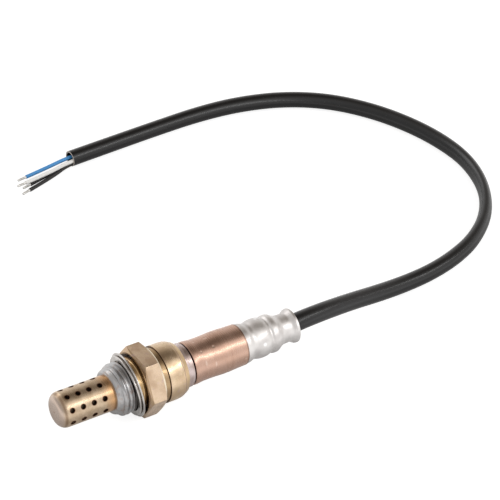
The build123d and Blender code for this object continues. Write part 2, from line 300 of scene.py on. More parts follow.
def line_through(route, resolution=12):
    """Points of the smooth line that a NURBS spline draws with the route as its control points."""
    curve = bpy.data.curves.new("route", "CURVE")
    curve.dimensions = "3D"
    curve.resolution_u = resolution
    spline = curve.splines.new("NURBS")
    spline.points.add(len(route) - 1)
    for knot, place in zip(spline.points, route):
        knot.co = (*place, 1)
    spline.order_u = 3
    spline.use_endpoint_u = True
    bare = bpy.data.objects.new("route", curve)
    mesh = bpy.data.meshes.new_from_object(bare)
    line = [vert.co.copy() for vert in mesh.vertices]
    bpy.data.meshes.remove(mesh)
    bpy.data.curves.remove(curve)
    return line


def distances(line):
    """How far along the line each of its points is."""
    total = [0.0]
    for before, after in zip(line, line[1:]):
        total.append(total[-1] + (after - before).length)
    return total


cable_line = line_through(ROUTE)
cable_length = distances(cable_line)[-1]
print("cable line:", len(cable_line), "points,", round(cable_length / MM, 1), "mm")

# %% [markdown]
# ## A tube that follows a line
#
# A curve's own bevel makes a tube of one section. This cable is squeezed narrow in its tight
# bend and open at its cut end, so it is walked out by hand instead: a ring is made once,
# extruded again and again, and each new ring is carried to the next station of the line. A
# station is a matrix that takes a unit circle to its place, turn, width and height, and the
# step between two stations is one matrix.

# %% Tube helper
UP = Vector((0, 0, 1))


def station(line, index, width, height, lift=0.0):
    """Matrix from a unit circle to an oval section of the line at one of its points."""
    ahead = line[min(index + 1, len(line) - 1)] - line[max(index - 1, 0)]
    ahead.normalize()
    side = UP.cross(ahead).normalized()
    top = ahead.cross(side)
    turn = Matrix((side, top, ahead)).transposed().to_4x4()
    place = Matrix.Translation(line[index] + top * lift)
    return place @ turn @ Matrix.Diagonal((width / 2, height / 2, 1, 1))


def ring_edges(ring):
    return list({
        edge for vert in ring for edge in vert.link_edges if edge.other_vert(vert) in ring
    })


def walk_tube(bm, ring, stations):
    """Extrudes the ring from the first station through all the others; returns the rings."""
    rings = [ring]
    for before, after in zip(stations, stations[1:]):
        made = bmesh.ops.extrude_edge_only(bm, edges=ring_edges(ring))["geom"]
        ring = {item for item in made if isinstance(item, bmesh.types.BMVert)}
        bmesh.ops.transform(bm, matrix=after @ before.inverted(), verts=list(ring))
        rings.append(ring)
    return rings


def first_ring(bm, place, sides):
    """A ring of vertices round the first station, with no face in it."""
    made = bmesh.ops.create_circle(bm, segments=sides, radius=1, cap_ends=False, matrix=place)
    return set(made["verts"])


def close_ring(bm, ring):
    """A face over the ring."""
    bmesh.ops.contextual_create(bm, geom=ring_edges(ring))


print("a station at the cap:", station(cable_line, 0, 1, 1).translation[:])

# %% [markdown]
# ## Turning bmesh work into a piece
#
# Each piece ends the same way: its normals are set right, its faces are smoothed except over
# real edges, it gets its finish, it rides on the sensor's one body, and it says which solid it
# stands for.

# %% Piece helper
SHARP_ANGLE = math.radians(32)


def to_mesh(bm, name):
    """Ends the bmesh work: merged, facing outwards, smooth but for its real edges."""
    bmesh.ops.remove_doubles(bm, verts=bm.verts, dist=1e-7)
    bmesh.ops.recalc_face_normals(bm, faces=bm.faces)
    mesh = bpy.data.meshes.new(name)
    bm.to_mesh(mesh)
    bm.free()
    mesh.shade_smooth()
    mesh.set_sharp_from_angle(angle=SHARP_ANGLE)
    return mesh


def add_piece(name, mesh, finishes, slot, *nodes):
    """Puts the mesh in the scene in place of the named solids."""
    piece = bpy.data.objects.new(name, mesh)
    bpy.context.scene.collection.objects.link(piece)
    for finish in finishes:
        mesh.materials.append(finish)
    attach(piece, "root")
    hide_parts(*nodes)
    print(f"{name}: {len(mesh.polygons)} faces in place of {', '.join(nodes)}")
    return piece


# %% [markdown]
# ## The cable sleeve
#
# The sleeve is a soft tube round four loose wires. It is fattest where it leaves the cap, and
# its tight bend squeezes it narrow and tall. Width and height are therefore read from a short
# list of what the sleeve does along its length, with a smooth change between, and its underside
# stays on the table. At the cut end the same walk turns round: over the rim, back inside, and
# closed there.

# %% Cable sleeve
SLEEVE_D = 0.0062
SLEEVE_SHAPE = [  # share of the length, width, height
    (0.00, 0.0066, 0.0066),
    (0.03, 0.0066, 0.0065),
    (0.12, 0.0063, 0.0062),
    (0.25, 0.0058, 0.0060),
    (0.34, 0.0049, 0.0065),
    (0.40, 0.0045, 0.0067),
    (0.46, 0.0050, 0.0065),
    (0.52, 0.0060, 0.0061),
    (0.66, 0.0064, 0.0060),
    (0.78, 0.0063, 0.0060),
    (0.88, 0.0059, 0.0059),
    (1.00, 0.0060, 0.0060),
]
SLEEVE_SIDES = 48
SLEEVE_WALL = 0.0006
SLEEVE_MOUTH_DEPTH = 0.006
RIM_BULGE = 0.00008  # how far the cut rim stands out at its middle


def read_shape(shape, share):
    """Values of a (share, value, value) list at a share, eased between its entries."""
    for before, after in zip(shape, shape[1:]):
        if share <= after[0]:
            t = (share - before[0]) / (after[0] - before[0])
            t = t * t * (3 - 2 * t)
            return [a + (b - a) * t for a, b in zip(before[1:], after[1:])]
    return list(shape[-1][1:])


def sleeve_stations(line):
    along = distances(line)
    stations = []
    for index, distance in enumerate(along):
        width, height = read_shape(SLEEVE_SHAPE, distance / along[-1])
        stations.append(station(line, index, width, height, (height - SLEEVE_D) / 2))
    return stations


def map_along(bm, rings, line):
    """UV map that goes round the tube once in U and along it in metres in V."""
    uv = bm.loops.layers.uv.new("along")
    along = distances(line)
    place = {}
    for ring, distance, index in zip(rings, along, range(len(line))):
        inverse = station(line, index, 1, 1).inverted()
        for vert in ring:
            spot = inverse @ vert.co
            place[vert] = (math.atan2(spot.y, spot.x) / math.tau, distance)
    for face in bm.faces:
        turns = [place[loop.vert][0] if loop.vert in place else 0.0 for loop in face.loops]
        for loop, turn in zip(face.loops, turns):
            across_seam = max(turns) - min(turns) > 0.5 and turn < 0
            loop[uv].uv = (turn + across_seam, place.get(loop.vert, (0, along[-1]))[1])


def cable_sleeve():
    bm = bmesh.new()
    stations = sleeve_stations(cable_line)
    ring = first_ring(bm, stations[0], SLEEVE_SIDES)
    close_ring(bm, ring)
    rings = walk_tube(bm, ring, stations)
    outer_faces = set(bm.faces)
    end = stations[-1]
    bore = Matrix.Diagonal((1 - 2 * SLEEVE_WALL / SLEEVE_D,) * 2 + (1, 1))
    halfway = Matrix.Diagonal((1 - SLEEVE_WALL / SLEEVE_D,) * 2 + (1, 1))
    rim = [end, end @ Matrix.Translation((0, 0, RIM_BULGE)) @ halfway, end @ bore]
    inside = walk_tube(bm, rings[-1], rim)
    rim_faces = set(bm.faces) - outer_faces
    depth = Matrix.Translation((0, 0, -SLEEVE_MOUTH_DEPTH))
    floor_ring = walk_tube(bm, inside[-1], [rim[-1], rim[-1] @ depth])[-1]
    close_ring(bm, floor_ring)
    for face in rim_faces:
        face.material_index = 1
    map_along(bm, rings, cable_line)
    return to_mesh(bm, "cable_sleeve")


sleeve = add_piece(
    "cable_sleeve", cable_sleeve(), [rubber, cut_rubber], "sheath", "cable_sheath"
)

# %% [markdown]
# ## Four wires and their tinned ends
#
# Each wire has thin plastic insulation, cut square, with a few millimetres of tinned strands
# twisted out of it. The insulation is the same walked tube with a round section. The twisted
# strands are one section with six lobes that turns a little at each station, which reads as a
# bundle at a tenth of the faces that separate strands would take. The wires fan out as they
# leave the sleeve and come to rest on the table.

# %% Wire finishes
def plastic_finish(name, low, high, roughness):
    finish = Finish(name)
    shade = finish.noise(1.5)
    scuff = finish.noise(0.3, 2.0, (4, 1, 1))
    return finish.done(
        Base_Color=finish.mix(shade, low, high),
        Roughness=roughness + scuff * 0.15,
        Normal=finish.bump(scuff, 0.01),
    )


def tinned_finish():
    finish = Finish("tinned_copper", Metallic=0.7)
    smear = finish.noise(0.5, 3.0, (3, 1, 1))
    return finish.done(
        Base_Color=finish.mix(smear, colour(212, 210, 206), colour(242, 241, 237)),
        Roughness=0.3 + smear * 0.15,
        Normal=finish.bump(smear, 0.02),
    )


blue_plastic = plastic_finish(
    "blue_insulation", colour(64, 142, 210), colour(88, 164, 226), 0.42
)
white_plastic = plastic_finish(
    "white_insulation", colour(242, 241, 238), colour(252, 252, 251), 0.42
)
black_plastic = plastic_finish("black_insulation", colour(30, 29, 28), colour(44, 42, 40), 0.4)
tinned = tinned_finish()

# %% Wires
WIRE_D = 0.0014
STRAND_D = 0.0009
WIRE_SIDES = 24
CUT_ROUNDING, CUT_SIZE = 0.0001, 0.88  # how far the cut end is rounded, and its size there
STRAND_LENGTH = 0.004
STRAND_SUNK = 0.0004  # the strands start this far inside the insulation
STRAND_STEPS = 12
STRAND_END = 0.86  # size of the last ring
STRAND_LOBES = 6
LOBE_HEIGHT = 0.05  # share of the radius
STRAND_TWIST = math.radians(70)
WIRES = {  # inside the sleeve, at its mouth, on the way, at the cut of the insulation
    "blue": (
        blue_plastic,
        [(0.0590, 0.1332, -0.0080), (0.0515, 0.1328, -0.0080), (0.0430, 0.1321, -0.0089),
         (0.0339, 0.1315, -0.0096)],
    ),
    "white": (
        white_plastic,
        [(0.0590, 0.1310, -0.0083), (0.0515, 0.1306, -0.0083), (0.0417, 0.1285, -0.0086),
         (0.0314, 0.1272, -0.0087)],
    ),
    "black_inner": (
        black_plastic,
        [(0.0590, 0.1328, -0.0099), (0.0515, 0.1324, -0.0099), (0.0434, 0.1300, -0.0104),
         (0.0337, 0.1277, -0.0105)],
    ),
    "black_outer": (
        black_plastic,
        [(0.0590, 0.1314, -0.0096), (0.0515, 0.1310, -0.0096), (0.0434, 0.1281, -0.0105),
         (0.0318, 0.1247, -0.0105)],
    ),
}


def insulation(name, line):
    """Plain round tube with rounded rims and closed ends."""
    bm = bmesh.new()
    stations = [station(line, i, WIRE_D, WIRE_D) for i in range(len(line))]
    cut = stations[-1] @ Matrix.Translation((0, 0, CUT_ROUNDING))
    cut = cut @ Matrix.Diagonal((CUT_SIZE, CUT_SIZE, 1, 1))
    ring = first_ring(bm, stations[0], WIRE_SIDES)
    close_ring(bm, ring)
    close_ring(bm, walk_tube(bm, ring, stations + [cut])[-1])
    return to_mesh(bm, name)


def strand_bundle(name, line):
    """Twisted bundle that goes straight on from the wire's end."""
    bm = bmesh.new()
    ahead = (line[-1] - line[-3]).normalized()
    reach = [
        line[-1] + ahead * (STRAND_LENGTH * (i / STRAND_STEPS) - STRAND_SUNK)
        for i in range(STRAND_STEPS + 1)
    ]
    stations = []
    for i in range(STRAND_STEPS + 1):
        width = STRAND_D * (STRAND_END if i == STRAND_STEPS else 1)
        turn = Matrix.Rotation(STRAND_TWIST * i / STRAND_STEPS, 4, "Z")
        stations.append(station(reach, i, width, width) @ turn)
    ring = first_ring(bm, stations[0], STRAND_LOBES * 6)
    back = stations[0].inverted()
    for vert in ring:
        spot = back @ vert.co
        wave = math.cos(STRAND_LOBES * math.atan2(spot.y, spot.x))
        lobe = 1 - LOBE_HEIGHT + LOBE_HEIGHT * wave
        vert.co = stations[0] @ (spot * lobe)
    close_ring(bm, ring)
    close_ring(bm, walk_tube(bm, ring, stations)[-1])
    return to_mesh(bm, name)


wire_pieces = []
for wire, (finish, route) in WIRES.items():
    line = line_through(route, 10)
    wire_pieces += [
        add_piece(f"insulation_{wire}", insulation(wire, line), [finish],
                  "wire_" + wire.split("_")[0], f"wire_{wire}"),
        add_piece(f"bare_strands_{wire}", strand_bundle(wire, line), [tinned], "tinned",
                  f"strand_{wire}"),
    ]

# %% [markdown]
# ## Pieces turned on the sensor's axis
#
# Nearly all of the metal was turned or drawn, so it is round about one axis. Such a piece is a
# half-outline spun about that axis: corners of the outline that the real piece has rounded are
# bevelled first, long stretches are divided so that dents have points to move, and a drawn
# shell is spun as one skin that Solidify gives its thickness.

# %% Lathe helper
AXIS = (1, 0, 0)


def turned(outline, sides=160, longest=None, wall=0.0):
    """Turns an outline of (x, radius) or (x, radius, rounding) points in millimetres about X.

    With a wall, the outline is the outer skin of a shell; otherwise it is closed on itself.
    """
    bm = bmesh.new()
    verts = [bm.verts.new((point[0] * MM, 0, point[1] * MM)) for point in outline]
    for pair in zip(verts, verts[1:] if wall else verts[1:] + verts[:1]):
        bm.edges.new(pair)
    for vert, point in zip(verts, outline):
        if len(point) > 2:
            bmesh.ops.bevel(
                bm, geom=[vert], offset=point[2] * MM, affect="VERTICES", segments=6,
                profile=0.5, material=-1,
            )
    if longest:
        for edge in bm.edges[:]:
            cuts = int(edge.calc_length() / (longest * MM))
            if cuts:
                bmesh.ops.subdivide_edges(bm, edges=[edge], cuts=cuts)
    bmesh.ops.spin(
        bm, geom=bm.verts[:] + bm.edges[:], cent=(0, 0, 0), axis=AXIS, dvec=(0, 0, 0),
        angle=math.tau, steps=sides, use_merge=True,
    )
    bmesh.ops.remove_doubles(bm, verts=bm.verts, dist=1e-7)
    bmesh.ops.recalc_face_normals(bm, faces=bm.faces)
    if wall:
        bmesh.ops.solidify(bm, geom=bm.faces[:], thickness=wall * MM)
    return bm


def dent(bm, x, angle, radius, depth, long, wide):
    """Pushes the skin towards the axis over an oval spot, long in X and wide round it."""
    turn = math.radians(angle)
    out = Vector((0, math.cos(turn), math.sin(turn)))
    across = Vector((0, -out.z, out.y))
    for vert in bm.verts:
        if vert.co.dot(out) < 0.5 * radius * MM:
            continue
        away = math.hypot((vert.co.x - x * MM) / (long * MM), vert.co.dot(across) / (wide * MM))
        if away < 1:
            vert.co -= out * (depth * MM * (1 + math.cos(math.pi * away)) / 2)


# %% [markdown]
# ## Threaded housing
#
# The housing is one steel piece: lip, thread, neck, hexagon, a neck ring, and a barrel whose
# skirt is rolled over the stack inside it. It is made as a machinist would: a turned blank,
# joined to a hexagon bar whose corners are turned to a cone, and a thread cut with a pointed
# tool that moves along a helix. The spin operator moves along its axis as it turns, so one
# small trapezoid spun that way is the tool's whole path. Booleans join the bar and cut the
# thread, and the cut fades out on the tapered lip by itself.

# %% Housing
THREAD_R = 9.0
PITCH = 1.5
GASKET_CENTRE = Vector((0.44, 0, 0.12)) * MM
GASKET_TILT, GASKET_LEAN = math.radians(7.3), math.radians(107)  # it leans towards the nose
THREAD_DEPTH = 0.78
THREAD_TURNS, TURN_STEPS = 3, 96
TOOL_ROOT_HALF, TOOL_OVER = 0.14, 0.25  # half the cut's floor, and the tool's reach past the crest
FLANK = math.radians(30)
THREAD_CREST_X, THREAD_CREST_ANGLE = -3.15, math.radians(137)  # one place on the crest
THREAD_TAPER_X, THREAD_TAPER = -4.3, 0.42  # the cut goes deeper in front of here, by this slope
HEX_CORNER_R = 22.0 / math.sqrt(3)
BAR_LENGTH, BAR_CENTRE_X = 14, 6  # it is longer than the hexagon, and the cone trims its ends
BAR_EDGE = 0.12
HOUSING_OUTLINE = [
    (-7.2, 6.2),
    (-7.2, 7.0, 0.25),
    (-6.9, 7.55, 0.3),
    (-5.2, 8.2, 0.3),
    (-4.3, THREAD_R, 0.2),
    (-1.6, THREAD_R, 0.12),
    (-1.5, 8.3, 0.2),
    (-0.6, 8.3, 0.2),
    (-0.5, 8.5, 0.08),
    (2.6, 8.5, 0.6),
    (2.6, 10.9),
    (9.0, 10.9, 0.3),
    (9.65, 10.5, 0.12),
    (9.8, 9.6, 0.08),
    (11.62, 9.6, 0.06),
    (11.75, 10.05, 0.14),
    (16.0, 10.05, 1.0),
    (17.2, 9.87, 0.3),
    (17.5, 9.76, 0.06),
    (17.56, 9.65, 0.03),
    (17.66, 9.71, 0.05),
    (18.2, 9.5, 0.4),
    (19.5, 8.85, 0.15),
    (19.5, 8.15),
    (17.9, 8.4),
    (17.4, 8.85),
    (12.6, 8.85),
    (12.6, 7.0),
    (4.6, 7.0),
    (4.6, 5.6),
    (1.0, 5.6),
    (1.0, 3.6),
    (-4.9, 3.6),
    (-4.9, 6.9),
    (-5.8, 6.9),
    (-5.8, 6.2),
]


def thread_tool():
    """The helical path of a trapezoid cutting tool, as a closed solid that follows the taper."""
    bm = bmesh.new()
    root = THREAD_R - THREAD_DEPTH
    top = THREAD_R + TOOL_OVER
    half = TOOL_ROOT_HALF
    top_half = half + (top - root) * math.tan(FLANK)
    corners = [(-top_half, top), (-half, root), (half, root), (top_half, top)]
    start = THREAD_CREST_X - PITCH * 2
    face = bm.faces.new(bm.verts.new(((start + x) * MM, 0, r * MM)) for x, r in corners)
    opposite = Matrix.Rotation(THREAD_CREST_ANGLE + math.radians(90), 3, "X")
    bmesh.ops.rotate(bm, verts=bm.verts, cent=(0, 0, 0), matrix=opposite)
    bmesh.ops.spin(
        bm, geom=[face], cent=(0, 0, 0), axis=AXIS, dvec=(PITCH * MM / TURN_STEPS, 0, 0),
        angle=math.tau * THREAD_TURNS, steps=TURN_STEPS * THREAD_TURNS, use_merge=False,
    )
    for vert in bm.verts:
        sunk = max(0.0, THREAD_TAPER_X - vert.co.x / MM) * THREAD_TAPER
        radius = math.hypot(vert.co.y, vert.co.z)
        vert.co.yz = vert.co.yz * (1 - sunk * MM / radius)
    bmesh.ops.remove_doubles(bm, verts=bm.verts, dist=1e-8)
    bmesh.ops.recalc_face_normals(bm, faces=bm.faces)
    return bm


def hexagon_bar():
    """Hexagon with one flat down and its long corners slightly rounded, to be turned to a cone."""
    bm = bmesh.new()
    bmesh.ops.create_cone(
        bm, cap_ends=True, segments=6, radius1=HEX_CORNER_R * MM, radius2=HEX_CORNER_R * MM,
        depth=BAR_LENGTH * MM,
    )
    corner_edges = [e for e in bm.edges if abs(e.verts[0].co.z - e.verts[1].co.z) > MM]
    bmesh.ops.bevel(
        bm, geom=corner_edges, offset=BAR_EDGE * MM, affect="EDGES", segments=3, profile=0.5,
        material=-1,
    )
    onto_axis = Matrix.Rotation(math.radians(90), 3, "Y")
    bmesh.ops.rotate(bm, verts=bm.verts, cent=(0, 0, 0), matrix=onto_axis)
    bmesh.ops.translate(bm, verts=bm.verts, vec=(BAR_CENTRE_X * MM, 0, 0))
    return bm


def as_object(name, bm):
    """A scratch object for the Boolean modifiers."""
    mesh = bpy.data.meshes.new(name)
    bm.to_mesh(mesh)
    bm.free()
    scratch = bpy.data.objects.new(name, mesh)
    bpy.context.scene.collection.objects.link(scratch)
    return scratch


def cut_and_joined(body, *steps):
    """The body's mesh after one Boolean for each (operation, tool)."""
    for operation, tool in steps:
        modifier = body.modifiers.new(operation, "BOOLEAN")
        modifier.operation = operation
        modifier.object = tool
        modifier.solver = "EXACT"
    graph = bpy.context.evaluated_depsgraph_get()
    bm = bmesh.new()
    bm.from_mesh(bpy.data.meshes.new_from_object(body.evaluated_get(graph)))
    for scratch in [body] + [tool for _, tool in steps]:
        bpy.data.objects.remove(scratch)
    return bm


def housing():
    cone = as_object("cone", turned(
        [(2.6, 0), (2.6, 10.8), (3.7, HEX_CORNER_R), (8.3, HEX_CORNER_R), (9.2, 10.8), (9.2, 0)],
    ))
    hexagon = as_object("hexagon", hexagon_bar())
    bar = as_object("bar", cut_and_joined(hexagon, ("INTERSECT", cone)))
    blank = as_object("blank", turned(HOUSING_OUTLINE))
    tool = as_object("tool", thread_tool())
    return to_mesh(cut_and_joined(blank, ("DIFFERENCE", tool), ("UNION", bar)), "housing")


# %% [markdown]
# ## Metal finishes
#
# Every metal here has been hot, plated or brushed, and each shows it differently. They share two
# things: turning marks, which are noise drawn out round the axis, and stains, which are soft lumps
# of two tints of the metal. The colour of heat or of zinc plating is a stack of mixes, each with a
# mask read from the place along the axis, and some of these bands are painted shade or painted
# highlights instead.

# %% Metal finish
def metal_finish(
    name, low, high, roughness, stain_mm=4.0, grain_mm=0.12, relief_mm=0.004, zones=()
):
    """Turned metal. Each zone is (from x, to x, softness, colour, share) and tints a band."""
    finish = Finish(name, Metallic=1.0)
    stain = finish.noise(stain_mm, 4.0)
    grain = finish.noise(grain_mm, 3.0, (1, 30, 30))
    base = finish.mix(finish.step(stain, 0.35, 0.65), low, high)
    for start, end, soft, tint, share in zones:
        inside = finish.step(finish.x, start - soft, start + soft)
        inside = inside * (1 - finish.step(finish.x, end - soft, end + soft))
        base = finish.mix(inside * share, base, tint)
    finish.base = base
    finish.gloss = roughness + (grain - 0.5) * 0.12 + (stain - 0.5) * 0.1
    finish.relief = finish.bump(grain, relief_mm)
    return finish


def plain_metal(*args, **kwargs):
    finish = metal_finish(*args, **kwargs)
    return finish.done(Base_Color=finish.base, Roughness=finish.gloss, Normal=finish.relief)


# %% [markdown]
# ### Nose tube
#
# The nose runs hottest. Its steel has gone straw and tan, greyer on the closed end and orange
# where it enters the housing, and each punched hole has a red-brown rim. Two of its bands are
# painted shade: a dark band just behind the rounded corner of the closed end, and a dark shadow
# ring right where the nose goes into the housing. The holes repeat every few millimetres and every
# forty-five degrees, so the distance to the nearest hole is a wrapped distance along the axis and
# another round it, and a narrow ring of that distance is the rim.

# %% Nose finish
HOLE_FIRST_X, HOLE_STEP = -23.05, 4.04
HOLE_ROW_ANGLE, HOLE_ROW_STEP = math.radians(150.4), math.radians(45)
HOLE_R = 0.875
HOLE_RIM = 0.28  # width of the stained ring round a hole
LAST_HOLE_EDGE = -9.1
NOSE_R = 6.2


def nose_finish():
    finish = metal_finish(
        "heat_tinted_nose", colour(186, 163, 136), colour(206, 184, 158), 0.28, 3.0,
        zones=[
            # painted shade: a dark band just behind the rounded corner of the closed end
            (-25.7, -24.9, 0.35, colour(128, 100, 80), 0.6),
            (-40, -25.9, 0.5, colour(196, 178, 166), 0.85),
            (-9.5, 0, 2.4, colour(212, 158, 104), 0.7),
            # painted shadow: a dark ring where the nose goes into the housing
            (-6.75, 0, 0.3, colour(96, 46, 22), 0.95),
        ],
    )
    angle = finish.node("ShaderNodeMath", {"operation": "ARCTAN2"}, {0: finish.z, 1: finish.y})
    along = (finish.x - HOLE_FIRST_X).mod(HOLE_STEP)
    around = (angle - HOLE_ROW_ANGLE).mod(HOLE_ROW_STEP) * NOSE_R
    away = (along * along + around * around).sqrt()
    ringed = finish.step(finish.x, HOLE_FIRST_X - 2, HOLE_FIRST_X - 1.9) * (
        1 - finish.step(finish.x, LAST_HOLE_EDGE, LAST_HOLE_EDGE + 0.1)
    )
    rim = (1 - finish.step(away, HOLE_R, HOLE_R + HOLE_RIM)) * ringed
    base = finish.mix(rim * 0.85, finish.base, colour(104, 52, 30))
    fleck = finish.step(finish.noise(0.35, 2.0), 0.68, 0.76)
    base = finish.mix(fleck * 0.35, base, colour(150, 96, 58))
    return finish.done(Base_Color=base, Roughness=finish.gloss + rim * 0.2, Normal=finish.relief)


# %% [markdown]
# ### Housing
#
# The housing is zinc plated and passivated yellow, a film so thin that it shows faint rainbow
# tints: cream, peach, olive and lilac over each other. The thread was masked or worn bare, so in
# front of the gasket the same mesh turns grey. A stack of soft masks gives that, with smaller and
# smaller lumps. Some bands of the stack are painted light rather than plating: a painted highlight
# along the hexagon's rear chamfer, and painted shade on the face in front of the hexagon, in the
# step and the groove of the barrel, and on the bare neck just in front of the gasket.

# %% Housing finish
def housing_finish():
    finish = metal_finish(
        "yellow_zinc", colour(204, 176, 148), colour(230, 204, 176), 0.25, 4.5, relief_mm=0.0015,
        zones=[
            (-2, 2.57, 0.03, colour(192, 160, 112), 0.85),
            (2.57, 3.6, 0.03, colour(178, 150, 118), 0.8),
            # painted highlight: a cream band along the hexagon's rear chamfer, for its reflection
            # of the front light
            (8.75, 9.78, 0.1, colour(250, 238, 214), 0.8),
            (9.78, 11.6, 0.04, colour(172, 144, 108), 0.9),
            # painted shade: a dark line in the step at the foot of the barrel
            (11.55, 11.82, 0.04, colour(60, 36, 14), 0.95),
            (11.9, 17.4, 0.3, colour(238, 218, 160), 0.12),
            # painted shade: a darker line in the small groove before the rolled skirt
            (17.5, 17.66, 0.03, colour(96, 70, 46), 0.7),
            (17.9, 19.6, 0.2, colour(204, 176, 134), 0.7),
        ],
    )
    olive = finish.step(finish.noise(2.4, 3.0), 0.55, 0.75)
    lilac = finish.step(finish.noise(1.3, 3.0), 0.58, 0.78)
    base = finish.mix(olive * 0.3, finish.base, colour(186, 172, 124))
    base = finish.mix(lilac * 0.35, base, colour(206, 180, 190))
    radial = (finish.y * finish.y + finish.z * finish.z).sqrt()
    # painted shadow: near black on the face in front of the hexagon, in the gap the gasket shades
    painted_shadow_gap = finish.step(radial, 9.2, 9.4) * (1 - finish.step(radial, 10.2, 10.6))
    painted_shadow_gap = painted_shadow_gap * finish.step(finish.x, 2.3, 2.4)
    painted_shadow_gap = painted_shadow_gap * (1 - finish.step(finish.x, 2.62, 2.7))
    base = finish.mix(painted_shadow_gap * 0.97, base, colour(44, 29, 20))
    lean = math.tan(GASKET_TILT)
    across = finish.y * math.cos(GASKET_LEAN) + finish.z * math.sin(GASKET_LEAN)
    behind = finish.x + across * lean
    bare = 1 - finish.step(behind, 0.3, 0.5)
    steel = finish.mix(finish.noise(1.1, 3.0), colour(168, 168, 169), colour(194, 193, 193))
    rust = finish.step(finish.noise(1.6, 3.0), 0.5, 0.7)
    steel = finish.mix(rust * 0.45, steel, colour(160, 132, 114))
    # painted shade: darker grey on the bare neck behind the thread, just in front of the gasket
    steel = finish.mix(finish.step(finish.x, -1.55, -1.4), steel, colour(96, 92, 90))
    base = finish.mix(bare, base, steel)
    return finish.done(Base_Color=base, Roughness=finish.gloss + bare * 0.06, Normal=finish.relief)


nose_metal = nose_finish()
zinc = housing_finish()
silver_ring = plain_metal(
    "rolled_steel", colour(188, 183, 179), colour(214, 210, 206), 0.24, relief_mm=0.001
)
shell_metal = plain_metal("front_shell_steel", colour(186, 166, 158), colour(210, 194, 192), 0.26)
weld_metal = plain_metal(
    "dark_weld", colour(26, 12, 14), colour(46, 24, 24), 0.5, 0.8, grain_mm=0.3, relief_mm=0.03
)
print("finishes:", nose_metal.name, zinc.name, silver_ring.name)

# %% Housing piece
add_piece("threaded_housing", housing(), [zinc], "housing", "housing")

# %% [markdown]
# ## Crush gasket
#
# The gasket is a ring of thin steel folded on itself, so its outer edge stands open as two
# bright lips with a dark groove between them. It is loose on its neck until the sensor is
# screwed in: the sensor lies on the gasket's edge, which tilts it. So it is turned like the
# rest and then leaned over.

# %% Gasket
GASKET_OUTLINE = [
    (-0.75, 8.75, 0.35),
    (-0.75, 10.65, 0.26),
    (-0.16, 10.65, 0.26),
    (-0.1, 9.9, 0.08),
    (0.1, 9.9, 0.08),
    (0.14, 11.4, 0.27),
    (0.75, 11.4, 0.27),
    (0.75, 8.75, 0.35),
]


def gasket():
    bm = turned(GASKET_OUTLINE)
    tilt = Matrix.Rotation(GASKET_LEAN, 4, "X") @ Matrix.Rotation(GASKET_TILT, 4, "Z")
    bmesh.ops.transform(bm, matrix=Matrix.Translation(GASKET_CENTRE) @ tilt, verts=bm.verts)
    return to_mesh(bm, "gasket")


add_piece("crush_gasket", gasket(), [silver_ring], "gasket", "gasket")

# %% [markdown]
# ## Long sleeve
#
# The sleeve behind the weld is a thin tube that heat has turned copper brown. A press has
# staked it to the parts inside, so it is a little waisted, and each stake left a shallow bright
# mark. The marks are dents in the skin, and the finish lightens the same spots from the same
# list.

# %% Long sleeve
def worn_spot(finish, x, angle, long, wide):
    """1 in an oval spot of the skin, long in X and wide round it, and 0 round about."""
    turn = math.radians(angle)
    across = finish.z * math.cos(turn) - finish.y * math.sin(turn)
    outwards = finish.y * math.cos(turn) + finish.z * math.sin(turn)
    along = (finish.x - x) * (1 / long)
    around = across * (1 / wide)
    away = (along * along + around * around).sqrt()
    return (1 - finish.step(away, 0.35, 1.0)) * finish.step(outwards, 0, 1)


STAKES = [  # x, angle from +Y towards +Z, length, width
    (26.4, 82, 0.6, 0.5),
    (30.9, 82, 1.1, 0.6),
    (31.6, 117, 0.6, 0.6),
    (26.7, 120, 0.5, 0.5),
    (27.2, 153, 0.5, 1.4),
    (30.8, 164, 0.45, 1.2),
    (42.5, 182, 0.5, 0.6),
]
STAKE_DEPTH, STAKED_R = 0.08, 7.4
SLEEVE_OUTLINE = [
    (22.95, 6.95),
    (22.95, 7.5, 0.12),
    (23.6, 7.6, 0.3),
    (24.6, 7.6, 0.5),
    (26.6, 7.33, 0.8),
    (31.0, 7.3, 2.0),
    (34.6, 7.52, 1.0),
    (37.8, 7.48, 1.0),
    (40.2, 7.32, 1.0),
    (43.9, 7.25, 0.12),
    (43.9, 6.8),
    (25.8, 6.8),
    (25.8, 6.95),
]


def tinted_sleeve_finish():
    finish = metal_finish(
        "heat_tinted_sleeve", colour(182, 146, 128), colour(198, 164, 148), 0.27, 6.0, 0.2, 0.004,
        zones=[
            # painted shade: a dark line on the sleeve's rear edge, where the cap goes into it
            (43.45, 44, 0.06, colour(52, 33, 28), 0.9),
            (22, 23.2, 0.1, colour(130, 94, 82), 0.6),
        ],
    )
    bands = finish.noise(1.6, 2.0, (1, 60, 60))
    base = finish.mix(bands, finish.base, colour(214, 178, 158))
    for stake in STAKES:
        base = finish.mix(worn_spot(finish, *stake) * 0.55, base, colour(232, 208, 192))
    return finish.done(Base_Color=base, Roughness=finish.gloss, Normal=finish.relief)


def long_sleeve():
    bm = turned(SLEEVE_OUTLINE, sides=200, longest=0.3)
    for x, angle, long, wide in STAKES:
        dent(bm, x, angle, STAKED_R, STAKE_DEPTH, long, wide)
    return to_mesh(bm, "outer_sleeve")


tinted = tinted_sleeve_finish()
add_piece("long_sleeve", long_sleeve(), [tinted], "sleeve", "outer_sleeve")

# %% [markdown]
# ## Rear cap
#
# The cap was drawn from thin sheet, slipped over the rubber plug, and squeezed until it
# gripped: a shallow groove, a swollen stretch, a crimp ring, a neck, and a flared mouth. The
# press jaws left shallow dents on the swollen stretch. It is one skin, spun and then thickened
# inwards.

